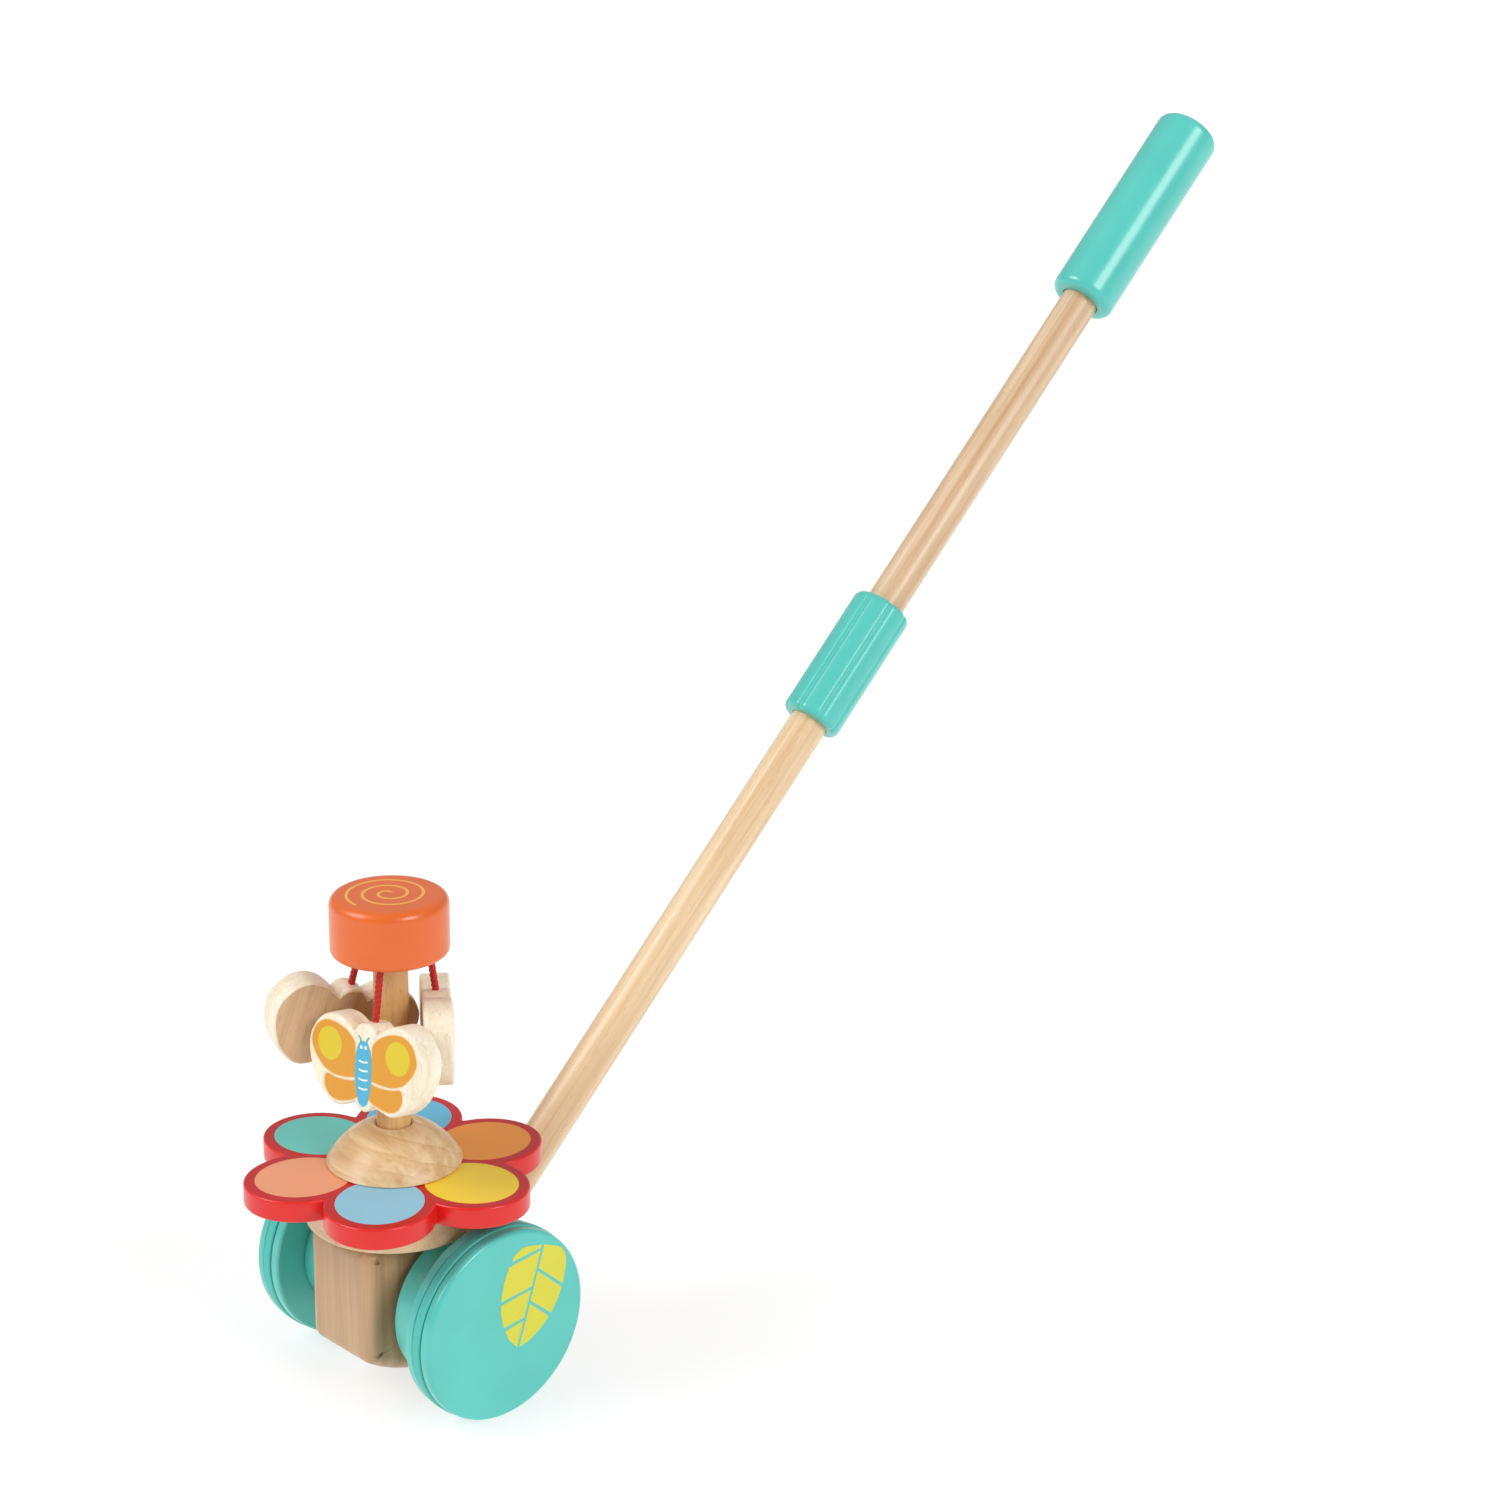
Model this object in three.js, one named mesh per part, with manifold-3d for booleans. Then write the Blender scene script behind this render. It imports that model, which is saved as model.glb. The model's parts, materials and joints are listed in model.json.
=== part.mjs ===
// A wooden push-along toy: two wheels under a block, a long two-piece stick to push it with, and a
// flower that the right-hand wheel's hub turns by friction, so that three butterflies fly round a post.
// Millimetres, +Z up. The toy is pushed towards -Y, and the stick rises towards +Y. The origin is on
// the floor, under the middle of the toy's box.

import * as THREE from "three";
import { mergeVertices } from "three/addons/utils/BufferGeometryUtils.js";
import Module from "manifold-3d";

const wasm = await Module();
wasm.setup();

// ---------- driving dimensions ----------

const GAP = 0.3; // clearance that every fitted or touching pair of pieces keeps
const AXLE_Y = -175.73; // the axle stands this far in front of the middle of the box

const WHEEL_R = 35.7;
const WHEEL_OUTER_X = 49.7;
const WHEEL_THICK = 12.7;
const FLANGE_R = 35.3;
const TYRE_WIDTH = 4.6;
const WHEEL_SIDES = 36;
const TYRE_GROOVE_R = 32.6;
const AXLE_R = 3;
const AXLE_HALF = 45.5;
const DRIVE_HUB_R = 28.3;
const DRIVE_HUB_X = 22;
const SPACER_HUB_R = 23.5;
const SPACER_HUB_X = 20;

const BLOCK_HALF = 17.3;
const BLOCK_TOP = 63;
const BLOCK_FRONT_Y = -35.5;
const BELLY_R = 66;
const BELLY_LOW = { y: 2, z: 8 };
const BELLY_END_Y = 17;
const TAIL_LOW = { y: 43.6, z: 36 }; // the tail's end rises from here, square to the stick
const TAIL_TOP_Y = 17.3;
const BLOCK_EDGE = 4.5;
const BLOCK_CORNER = 6;

const SPIN_Y = -9.4; // the flower's axis, in front of the axle, so that its screw passes the axle
const DISC_R = 32;
const DISC_BOTTOM = 64.3;
const DISC_TOP = 77.2;
const FLOWER_BOTTOM = 77.5;
const FLOWER_TOP = 85.5;
const PETALS = 6;
const PETAL_CENTRE_R = 34.15;
const PETAL_HALF_LENGTH = 21;
const PETAL_HALF_WIDTH = 19.4;
const FIRST_PETAL = THREE.MathUtils.degToRad(13.4);
const DOME_R = 24.1;
const DOME_HEIGHT = 15.4;
const POST_R = 6.1;
const POST_BOTTOM = 69;
const POST_TOP = 178;
const CAP_R = 20.8;
const CAP_BOTTOM = 164.6;
const CAP_TOP = 186.1;

const SCREW_R = 2.5;
const SCREW_TOP = 94;
const SCREW_HEAD_R = 4.5;
const SCREW_HEAD_HEIGHT = 3;
const SCREW_RECESS_R = 6;
const SCREW_RECESS_TOP = 22;
const WASHER_R = 5.3;
const WASHER_THICK = 1;
const THRUST_WASHER_R = 9;

const CORD_R = 1.3;
const CORD_HOLE_R = 2;
const CORD_MOUTH = { r: 3.2, depth: 1.5 }; // the countersink that lets a cord swing
const CORD_RING_R = 13.9; // radius of the ring of cord holes in the cap
const CORD_IN_CAP = 9;
const CORD_IN_WING = 7;
const CORD_SIDES = 8;
const BUTTERFLY_THICK = 10.5;
const BUTTERFLY_EDGE = 1.2;

const STICK_FOOT = { y: 25.76, z: 40 }; // the point of the stick's axis that its lengths count from
const STICK_TILT = THREE.MathUtils.degToRad(45.7);
const STICK_R = 7.5;
const STICK_START = -18;
const STICK_PIN = { along: -4, shank: 1.3, head: 2.8, tip: 3.2, neck: 10.2, top: 12.4 };
const COLLAR_START = 235.5;
const COLLAR_END = 290.6;
const COLLAR_R = 11.8;
const COLLAR_EDGE = 2.2;
const COLLAR_GROOVES = 8;
const GROOVE_DEPTH = 0.6;
const GROOVE_HALF = 7; // degrees from a groove's middle to its edge
const FIRST_GROOVE = 9.6; // degrees round from +X
const JOINT_AT = 263; // where the two dowels meet inside the collar
const JOINT_SPLIT = 1; // each dowel stops this far short of it
const FERRULE_LENGTH = 16;
const TENON_R = 5.2;
const KEY_SIDE = 4;
const KEY_LENGTH = 24;
const KEY_SLACK = 0.6;
const UPPER_END = 495;
const GRIP_START = 443.2;
const GRIP_END = 532.7;
const GRIP_R = 13;

// Where each butterfly hangs. hole: the cord's place on the cap's ring. free: the cord's length from the
// cap to the butterfly. out, side: how far the cord leans away from the post and round it. face: where
// the butterfly's printed side looks. tilt: how far its top leans in. roll: how far it turns about the
// line of its face. All angles in degrees.
const HANGING = [
  { name: "front", hole: -51.2, free: 20.4, out: 3.6, side: -5.5, face: -85.2, tilt: 9.1, roll: 6.5 },
  { name: "right", hole: 68.8, free: 17.8, out: 9.2, side: 5.5, face: 53.4, tilt: 0, roll: -7.2 },
  { name: "left", hole: 188.8, free: 18.8, out: 19.6, side: -3.4, face: 164.6, tilt: 6.6, roll: 16.1 },
];

// ---------- finishes ----------

const finish = (color, roughness, metalness = 0) =>
  new THREE.MeshStandardMaterial({ color, roughness, metalness });

const BEECH = finish(0xddbe94, 0.55);
const PALE_WOOD = finish(0xe6d2b0, 0.6);
const TURQUOISE = finish(0x5cc8bd, 0.3);
const RUBBER = finish(0x58c4b8, 0.6);
const RED = finish(0xe43b35, 0.3);
const ORANGE = finish(0xe87640, 0.3);
const CORD_RED = finish(0xc8302b, 0.8);
const STEEL = finish(0xb8babd, 0.3, 1);

// ---------- solids ----------

// A closed geometry as a solid that can be cut and joined.
function solidOf(geometry) {
  const bare = geometry.clone();
  bare.deleteAttribute("normal");
  bare.deleteAttribute("uv");
  const merged = mergeVertices(bare);
  return new wasm.Manifold(
    new wasm.Mesh({
      numProp: 3,
      vertProperties: new Float32Array(merged.attributes.position.array),
      triVerts: new Uint32Array(merged.index.array),
    }),
  );
}

function geometryOf(solid) {
  const mesh = solid.getMesh();
  const geometry = new THREE.BufferGeometry();
  geometry.setAttribute("position", new THREE.BufferAttribute(mesh.vertProperties, 3));
  geometry.setIndex(new THREE.BufferAttribute(mesh.triVerts, 1));
  geometry.computeVertexNormals();
  return geometry;
}

function cut(geometry, ...tools) {
  return geometryOf(tools.reduce((solid, tool) => solid.subtract(solidOf(tool)), solidOf(geometry)));
}

// A turned piece about +Z, from [radius, height] points that run up its outside.
function turned(profile, sides = 24) {
  const points = profile.map(([r, z]) => new THREE.Vector2(r, z));
  return new THREE.LatheGeometry(points, sides).rotateX(Math.PI / 2);
}

// The points of a quarter round from angle a to angle b, in degrees, about (r, z).
function quarter(r, z, radius, a, b, steps = 2) {
  return Array.from({ length: steps + 1 }, (_, i) => {
    const angle = THREE.MathUtils.degToRad(a + ((b - a) * i) / steps);
    return [r + radius * Math.cos(angle), z + radius * Math.sin(angle)];
  });
}

// A round bar about +Z with rounded edges.
function bar(radius, z0, z1, edge = 0, sides = 24) {
  if (!edge) return turned([[0, z0], [radius, z0], [radius, z1], [0, z1]], sides);
  return turned(
    [
      [0, z0],
      ...quarter(radius - edge, z0 + edge, edge, -90, 0),
      ...quarter(radius - edge, z1 - edge, edge, 0, 90),
      [0, z1],
    ],
    sides,
  );
}

// A ring about +Z, such as a washer or a ferrule.
function ring(inner, outer, z0, z1, sides = 24) {
  return turned([[inner, z0], [outer, z0], [outer, z1], [inner, z1], [inner, z0]], sides);
}

function piece(name, geometry, material) {
  const mesh = new THREE.Mesh(geometry, material);
  mesh.name = name;
  return mesh;
}

function group(...members) {
  return new THREE.Group().add(...members);
}

// ---------- chassis ----------

// The block's side outline in (y, z): flat top and front, a belly that curves up to the front, and a
// tail whose end is square to the stick and whose underside runs along it.
function blockOutline() {
  const bellyCentreZ = BELLY_LOW.z + BELLY_R;
  const belly = (y) => bellyCentreZ - Math.sqrt(BELLY_R ** 2 - (y - BELLY_LOW.y) ** 2);
  const corners = [
    [BLOCK_FRONT_Y, BLOCK_TOP],
    [BLOCK_FRONT_Y, belly(BLOCK_FRONT_Y)],
    ...[-26, -16, -6, 4, 12].map((y) => [y, belly(y)]),
    [BELLY_END_Y, belly(BELLY_END_Y)],
    [TAIL_LOW.y, TAIL_LOW.z],
    [TAIL_TOP_Y, BLOCK_TOP],
  ].map(([y, z]) => new THREE.Vector2(y, z));
  return roundedOutline(corners, BLOCK_CORNER);
}

// A closed outline through the corners, each sharp one rounded off by an arc-like curve.
function roundedOutline(corners, radius) {
  const shape = new THREE.Shape();
  const count = corners.length;
  corners.forEach((corner, i) => {
    const before = corners[(i + count - 1) % count].clone().sub(corner);
    const after = corners[(i + 1) % count].clone().sub(corner);
    const half = before.angleTo(after) / 2;
    const reach = radius / Math.tan(half);
    const start = corner.clone().addScaledVector(before.normalize(), reach);
    const end = corner.clone().addScaledVector(after.normalize(), reach);
    if (i) shape.lineTo(start.x, start.y);
    else shape.moveTo(start.x, start.y);
    if (reach < 1.5) shape.lineTo(end.x, end.y);
    else shape.quadraticCurveTo(corner.x, corner.y, end.x, end.y);
  });
  shape.closePath();
  return shape;
}

function chassisBlock() {
  const block = new THREE.ExtrudeGeometry(blockOutline(), {
    depth: 2 * (BLOCK_HALF - BLOCK_EDGE),
    bevelSize: BLOCK_EDGE,
    bevelThickness: BLOCK_EDGE,
    bevelOffset: -BLOCK_EDGE,
    bevelSegments: 3,
    curveSegments: 4,
  });
  block.translate(0, 0, BLOCK_EDGE - BLOCK_HALF);
  block.applyMatrix4(new THREE.Matrix4().makeBasis(
    new THREE.Vector3(0, 1, 0), new THREE.Vector3(0, 0, 1), new THREE.Vector3(1, 0, 0)));
  // each tool runs on past the block's face by this much
  const past = 5;
  const below = BELLY_LOW.z - past;
  const axleBore = bar(AXLE_R + GAP, -BLOCK_HALF - past, BLOCK_HALF + past)
    .rotateY(Math.PI / 2)
    .translate(0, 0, WHEEL_R);
  const screwBore = bar(SCREW_R + GAP, below, BLOCK_TOP + past, 0, 20).translate(0, SPIN_Y, 0);
  const screwRecess = bar(SCREW_RECESS_R, below, SCREW_RECESS_TOP, 0, 20).translate(0, SPIN_Y, 0);
  const stickSocket = alongStick(bar(STICK_R + GAP, STICK_START - GAP, BLOCK_TOP));
  const pinBore = alongStick(stickPinShape(GAP, BLOCK_TOP));
  return cut(block, axleBore, screwBore, screwRecess, stickSocket, pinBore);
}

// Moves a geometry from the stick's own axes, with +Z along it, to the toy's.
function alongStick(geometry) {
  return geometry.rotateX(-STICK_TILT).translate(0, STICK_FOOT.y, STICK_FOOT.z);
}

// The screw that holds the stick, square to it from the block's underside, larger by slack.
function stickPinShape(slack, top = STICK_PIN.top) {
  return turned(
    [
      [0, STICK_PIN.tip - slack],
      [STICK_PIN.shank + slack, STICK_PIN.tip - slack],
      [STICK_PIN.shank + slack, STICK_PIN.neck - slack],
      [STICK_PIN.head + slack, STICK_PIN.neck - slack],
      [STICK_PIN.head + slack, top],
      [0, top],
    ],
    16,
  )
    .rotateX(-Math.PI / 2)
    .translate(0, 0, STICK_PIN.along);
}

function chassis() {
  const end = JOINT_AT - JOINT_SPLIT;
  const shoulder = end - FERRULE_LENGTH;
  const dowel = cut(
    turned([[0, STICK_START], [STICK_R, STICK_START], [STICK_R, shoulder], [TENON_R, shoulder],
      [TENON_R, end], [0, end]]),
    keyShape(KEY_SLACK),
    stickPinShape(GAP),
  );
  const stick = group(
    piece("lower_dowel", dowel, BEECH),
    piece("stick_screw", stickPinShape(0), STEEL),
    piece("lower_ferrule", ring(TENON_R + GAP, STICK_R, shoulder + GAP, end), STEEL),
    piece("locating_key", keyShape(0), STEEL),
  );
  stick.rotation.x = -STICK_TILT;
  stick.position.set(0, STICK_FOOT.y, STICK_FOOT.z);
  return group(
    piece("chassis_block", chassisBlock(), BEECH),
    piece(
      "flower_thrust_washer",
      ring(SCREW_R + GAP, THRUST_WASHER_R, BLOCK_TOP + GAP, DISC_BOTTOM - GAP).translate(0, SPIN_Y, 0),
      STEEL,
    ),
    stick,
  );
}

// The square bar that keys the two dowels together, larger by slack.
function keyShape(slack) {
  const side = KEY_SIDE + slack;
  return new THREE.BoxGeometry(side, side, KEY_LENGTH + slack).translate(0, 0, JOINT_AT);
}

// ---------- wheels ----------

// A wheel about +Z with its inner face at 0: two flanges, a groove for the tyre and a blind bore.
function wheelBlank() {
  const grooveStart = (WHEEL_THICK - TYRE_WIDTH) / 2;
  const grooveEnd = grooveStart + TYRE_WIDTH;
  return turned(
    [
      [AXLE_R + GAP, 0],
      ...quarter(FLANGE_R - 1, 1, 1, -90, 0, 1),
      [FLANGE_R, grooveStart],
      [TYRE_GROOVE_R, grooveStart],
      [TYRE_GROOVE_R, grooveEnd],
      [FLANGE_R, grooveEnd],
      ...quarter(FLANGE_R - 1.6, WHEEL_THICK - 1.6, 1.6, 0, 90),
      [0, WHEEL_THICK],
      [0, AXLE_HALF - WHEEL_OUTER_X + WHEEL_THICK + GAP],
      [AXLE_R + GAP, AXLE_HALF - WHEEL_OUTER_X + WHEEL_THICK + GAP],
      [AXLE_R + GAP, 0],
    ],
    WHEEL_SIDES,
  );
}

function tyreBlank() {
  const start = (WHEEL_THICK - TYRE_WIDTH) / 2 + GAP;
  const end = WHEEL_THICK - start;
  return turned(
    [
      [TYRE_GROOVE_R + GAP, start],
      [WHEEL_R - 0.6, start],
      [WHEEL_R, start + 0.8],
      [WHEEL_R, end - 0.8],
      [WHEEL_R - 0.6, end],
      [TYRE_GROOVE_R + GAP, end],
      [TYRE_GROOVE_R + GAP, start],
    ],
    WHEEL_SIDES,
  );
}

// A hub between the block and a wheel, from its block-side face to just short of the wheel.
function hubBlank(radius, face) {
  const back = WHEEL_OUTER_X - WHEEL_THICK - GAP;
  return turned(
    [
      [AXLE_R + GAP, face],
      ...quarter(radius - 1.2, face + 1.2, 1.2, -90, 0, 1),
      [radius, back],
      [AXLE_R + GAP, back],
      [AXLE_R + GAP, face],
    ],
    WHEEL_SIDES,
  );
}

function wheelSide(side, hubName, hubR, hubFace) {
  const seat = WHEEL_OUTER_X - WHEEL_THICK;
  const half = group(
    piece(`${side}_wheel`, wheelBlank().translate(0, 0, seat), TURQUOISE),
    piece(`${side}_tyre`, tyreBlank().translate(0, 0, seat), RUBBER),
    piece(hubName, hubBlank(hubR, hubFace), TURQUOISE),
    piece(`${side}_axle_spacer`, ring(AXLE_R + GAP, 6.5, BLOCK_HALF + GAP, hubFace - GAP, 20), PALE_WOOD),
  );
  half.rotation.y = side === "right" ? Math.PI / 2 : -Math.PI / 2;
  return half;
}

function wheelset() {
  const axle = piece("axle", bar(AXLE_R, -AXLE_HALF, AXLE_HALF, 0, 20).rotateY(Math.PI / 2), STEEL);
  const set = group(
    axle,
    wheelSide("right", "drive_hub", DRIVE_HUB_R, DRIVE_HUB_X),
    wheelSide("left", "spacer_hub", SPACER_HUB_R, SPACER_HUB_X),
  );
  set.position.z = WHEEL_R;
  return set;
}

// ---------- flower, post and cap ----------

// The flower's outline: the part of each petal's ellipse that stands outside its neighbours'.
function flowerOutline() {
  const half = Math.PI / PETALS;
  const a = PETAL_HALF_LENGTH;
  const b = PETAL_HALF_WIDTH;
  // where the ellipse crosses the line midway to the next petal, by its own angle
  const crosses = (t) => b * Math.sin(t) - Math.tan(half) * (PETAL_CENTRE_R + a * Math.cos(t));
  let low = Math.PI / 2;
  let high = Math.PI / 3;
  for (let i = 0; i < 40; i++) {
    const middle = (low + high) / 2;
    if (crosses(middle) > 0 === crosses(low) > 0) low = middle;
    else high = middle;
  }
  const shape = new THREE.Shape();
  for (let k = 0; k < PETALS; k++) {
    const turn = FIRST_PETAL + 2 * half * k;
    const x = PETAL_CENTRE_R * Math.cos(turn);
    const y = PETAL_CENTRE_R * Math.sin(turn);
    shape.absellipse(x, y, a, b, -low, low, false, turn);
  }
  return shape;
}

function flowerPlate() {
  const edge = 0.8;
  const plate = new THREE.ExtrudeGeometry(flowerOutline(), {
    depth: FLOWER_TOP - FLOWER_BOTTOM - 2 * edge,
    bevelSize: edge,
    bevelThickness: edge,
    bevelOffset: -edge,
    bevelSegments: 1,
    curveSegments: 5,
  }).translate(0, 0, FLOWER_BOTTOM + edge);
  return cut(plate, bar(POST_R + GAP, FLOWER_BOTTOM - 2, FLOWER_TOP + 2));
}

// A spherical cap with a hole up its middle for the post.
function dome() {
  const sphereR = (DOME_R ** 2 + DOME_HEIGHT ** 2) / (2 * DOME_HEIGHT);
  const bore = POST_R + GAP;
  const height = (r) => Math.sqrt(sphereR ** 2 - r ** 2) - (sphereR - DOME_HEIGHT);
  const steps = 5;
  const arc = Array.from({ length: steps + 1 }, (_, i) => {
    const r = DOME_R + ((bore - DOME_R) * i) / steps;
    return [r, height(r)];
  });
  arc[0][1] = 0.8;
  return turned([[bore, 0], [DOME_R - 0.3, 0], ...arc, [bore, 0]], 28).translate(0, 0, FLOWER_TOP + GAP);
}

function holeDirection(hang) {
  const angle = THREE.MathUtils.degToRad(hang.hole);
  return new THREE.Vector3(Math.cos(angle), Math.sin(angle), 0);
}

function cap() {
  const blank = turned(
    [
      [0, CAP_BOTTOM],
      ...quarter(CAP_R - 2, CAP_BOTTOM + 2, 2, -90, 0, 1),
      ...quarter(CAP_R - 3.4, CAP_TOP - 3.4, 3.4, 0, 90),
      [0, CAP_TOP],
    ],
    28,
  );
  const cordHole = turned(
    [[0, -1], [CORD_MOUTH.r, -1], [CORD_MOUTH.r, 0], [CORD_HOLE_R, CORD_MOUTH.depth],
      [CORD_HOLE_R, CORD_IN_CAP + GAP], [0, CORD_IN_CAP + GAP]],
    12,
  );
  const holes = HANGING.map((hang) => {
    const at = holeDirection(hang).multiplyScalar(CORD_RING_R);
    return cordHole.clone().translate(at.x, at.y, CAP_BOTTOM);
  });
  return cut(blank, bar(POST_R + GAP, CAP_BOTTOM - 2, POST_TOP + GAP), ...holes);
}

function spinner() {
  const discBore = bar(POST_R + GAP, POST_BOTTOM - GAP, DISC_TOP + 2);
  const screwBore = bar(SCREW_R + GAP, 60, SCREW_TOP + GAP, 0, 20);
  const disc = cut(bar(DISC_R, DISC_BOTTOM, DISC_TOP, 1, 36), discBore, screwBore);
  const post = cut(bar(POST_R, POST_BOTTOM, POST_TOP), screwBore);
  const headTop = SCREW_RECESS_TOP - WASHER_THICK - 2 * GAP;
  const screw = turned(
    [[0, headTop - SCREW_HEAD_HEIGHT], [SCREW_HEAD_R, headTop - SCREW_HEAD_HEIGHT], [SCREW_HEAD_R, headTop],
      [SCREW_R, headTop], [SCREW_R, SCREW_TOP - 3], [0, SCREW_TOP]],
    20,
  );
  const washerTop = SCREW_RECESS_TOP - GAP;
  return group(
    piece("drive_disc", disc, BEECH),
    piece("flower_plate", flowerPlate(), RED),
    piece("dome", dome(), BEECH),
    piece("post", post, BEECH),
    piece("cap", cap(), ORANGE),
    piece("flower_screw", screw, STEEL),
    piece("screw_washer", ring(SCREW_R + GAP, WASHER_R, washerTop - WASHER_THICK, washerTop, 20), STEEL),
    ...HANGING.map((hang) => {
      const at = holeDirection(hang).multiplyScalar(CORD_RING_R);
      const end = bar(CORD_R, CAP_BOTTOM + CORD_R + GAP, CAP_BOTTOM + CORD_IN_CAP, 0, CORD_SIDES);
      return piece(`${hang.name}_cord_top`, end.translate(at.x, at.y, 0), CORD_RED);
    }),
    ...HANGING.map(hangingGroup),
  );
}

// ---------- cords and butterflies ----------

// Half of the butterfly, from the top of its head round a wing to its tail: [out from the middle, down].
const HEAD_TOP = 1;
const BUTTERFLY_HALF = [
  [0, HEAD_TOP], [2.2, 1.2], [4.3, 2.5], [5.6, 4.1], [8.3, 2.3], [11.8, 0.5], [15.7, -0.2], [19.3, 0.2],
  [23.4, 2.5], [26.6, 6.3], [28, 9.5], [28.3, 13.1], [27.7, 17], [26.3, 20.8], [24.1, 24.7], [21.5, 27.8],
  [18.2, 30.3], [15.2, 31.7], [11.9, 31.9], [7.7, 30.8], [4.6, 29.6], [2.6, 31.6], [0, 32.5],
];

function butterflyOutline() {
  const right = BUTTERFLY_HALF.map(([x, y]) => new THREE.Vector2(x, -y));
  const left = right.slice(1, -1).reverse().map((point) => new THREE.Vector2(-point.x, point.y));
  return new THREE.Shape([...right, ...left]);
}

// A butterfly that hangs from the origin, facing +X with its wings along Y.
function butterfly() {
  const blank = new THREE.ExtrudeGeometry(butterflyOutline(), {
    depth: BUTTERFLY_THICK - 2 * BUTTERFLY_EDGE,
    bevelSize: BUTTERFLY_EDGE,
    bevelThickness: BUTTERFLY_EDGE,
    bevelOffset: -BUTTERFLY_EDGE,
    bevelSegments: 1,
  });
  blank.translate(0, HEAD_TOP + GAP, BUTTERFLY_EDGE - BUTTERFLY_THICK / 2);
  blank.applyMatrix4(new THREE.Matrix4().makeBasis(
    new THREE.Vector3(0, 1, 0), new THREE.Vector3(0, 0, 1), new THREE.Vector3(1, 0, 0)));
  return cut(blank, bar(CORD_HOLE_R, -CORD_IN_WING - 1, HEAD_TOP, 0, 12));
}

// A cord's free stretch, from the origin down. Its top is a ball about the origin, so that it can swing
// close under the end that is held in the cap.
function cordTube(free) {
  const steps = 3;
  const side = Array.from({ length: steps }, (_, i) => [CORD_R, -((free - GAP) * (steps - i)) / steps]);
  return turned([[0, side[0][1]], ...side, ...quarter(0, 0, CORD_R, 0, 60), [0, CORD_R]], CORD_SIDES);
}

// One cord with its butterfly, hung from its hole in the cap.
function hangingGroup(hang) {
  const { degToRad } = THREE.MathUtils;
  const outward = holeDirection(hang);
  const round = new THREE.Vector3(-outward.y, outward.x, 0);
  const down = new THREE.Vector3(0, 0, -1)
    .addScaledVector(outward, Math.tan(degToRad(hang.out)))
    .addScaledVector(round, Math.tan(degToRad(hang.side)))
    .normalize();
  const cord = piece(`${hang.name}_cord`, cordTube(hang.free), CORD_RED);
  cord.quaternion.setFromUnitVectors(new THREE.Vector3(0, 0, -1), down);
  const wings = group(
    piece(`${hang.name}_butterfly`, butterfly(), PALE_WOOD),
    piece(`${hang.name}_cord_end`, bar(CORD_R, -CORD_IN_WING, -GAP, 0, CORD_SIDES), CORD_RED),
  );
  wings.position.copy(down).multiplyScalar(hang.free);
  wings.rotation.set(degToRad(hang.roll), -degToRad(hang.tilt), degToRad(hang.face), "ZYX");
  const hung = group(cord, wings);
  hung.position.copy(outward).multiplyScalar(CORD_RING_R).setZ(CAP_BOTTOM);
  return hung;
}

// ---------- collar and upper handle ----------

// A sleeve with narrow shallow grooves along it for the fingers, about +Z.
function collar() {
  const between = 360 / COLLAR_GROOVES;
  const points = [];
  const add = (degrees, depth) => {
    const angle = THREE.MathUtils.degToRad(FIRST_GROOVE + degrees);
    points.push(new THREE.Vector2(Math.cos(angle), Math.sin(angle)).multiplyScalar(COLLAR_R - depth));
  };
  for (let i = 0; i < COLLAR_GROOVES; i++) {
    for (const share of [-1, -0.5, 0, 0.5, 1]) {
      add(between * i + share * GROOVE_HALF, GROOVE_DEPTH * Math.cos((share * Math.PI) / 2) ** 2);
    }
    for (const share of [1 / 3, 1 / 2, 2 / 3]) add(between * (i + share), 0);
  }
  const shape = new THREE.Shape(points);
  const sleeve = new THREE.ExtrudeGeometry(shape, {
    depth: COLLAR_END - COLLAR_START - 2 * COLLAR_EDGE,
    bevelSize: COLLAR_EDGE,
    bevelThickness: COLLAR_EDGE,
    bevelOffset: -COLLAR_EDGE,
    bevelSegments: 2,
  }).translate(0, 0, COLLAR_START + COLLAR_EDGE);
  return cut(sleeve, bar(STICK_R + GAP, COLLAR_START - 2, COLLAR_END + 2));
}

function upperHandle() {
  const start = JOINT_AT + JOINT_SPLIT;
  const shoulder = start + FERRULE_LENGTH;
  const dowel = cut(
    turned([[0, start], [TENON_R, start], [TENON_R, shoulder], [STICK_R, shoulder], [STICK_R, UPPER_END],
      [0, UPPER_END]]),
    keyShape(KEY_SLACK),
  );
  const grip = turned(
    [
      [STICK_R + GAP, GRIP_START],
      ...quarter(GRIP_R - 3, GRIP_START + 3, 3, -90, 0),
      ...quarter(GRIP_R - 4, GRIP_END - 4, 4, 0, 90),
      [0, GRIP_END],
      [0, UPPER_END + GAP],
      [STICK_R + GAP, UPPER_END + GAP],
      [STICK_R + GAP, GRIP_START],
    ],
    28,
  );
  return group(
    piece("upper_dowel", dowel, BEECH),
    piece("upper_ferrule", ring(TENON_R + GAP, STICK_R, start, shoulder - GAP), STEEL),
    piece("grip", grip, TURQUOISE),
  );
}

function stickTop() {
  const top = group(piece("collar", collar(), TURQUOISE), upperHandle());
  top.rotation.x = -STICK_TILT;
  top.position.set(0, STICK_FOOT.y, STICK_FOOT.z);
  return top;
}

// ---------- the toy ----------

const flower = spinner();
flower.position.y = SPIN_Y;
const toy = group(chassis(), wheelset(), flower, stickTop());
toy.position.y = AXLE_Y;

export default toy;
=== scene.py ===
"""A wooden push-along toy: two turquoise wheels, a flower that they spin, three butterflies on red cords,
and a long stick with a collar and a grip. Lengths in this file are millimetres unless a name ends in _m."""

import json
import math

import bmesh
import bpy
from mathutils import Matrix, Vector


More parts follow.
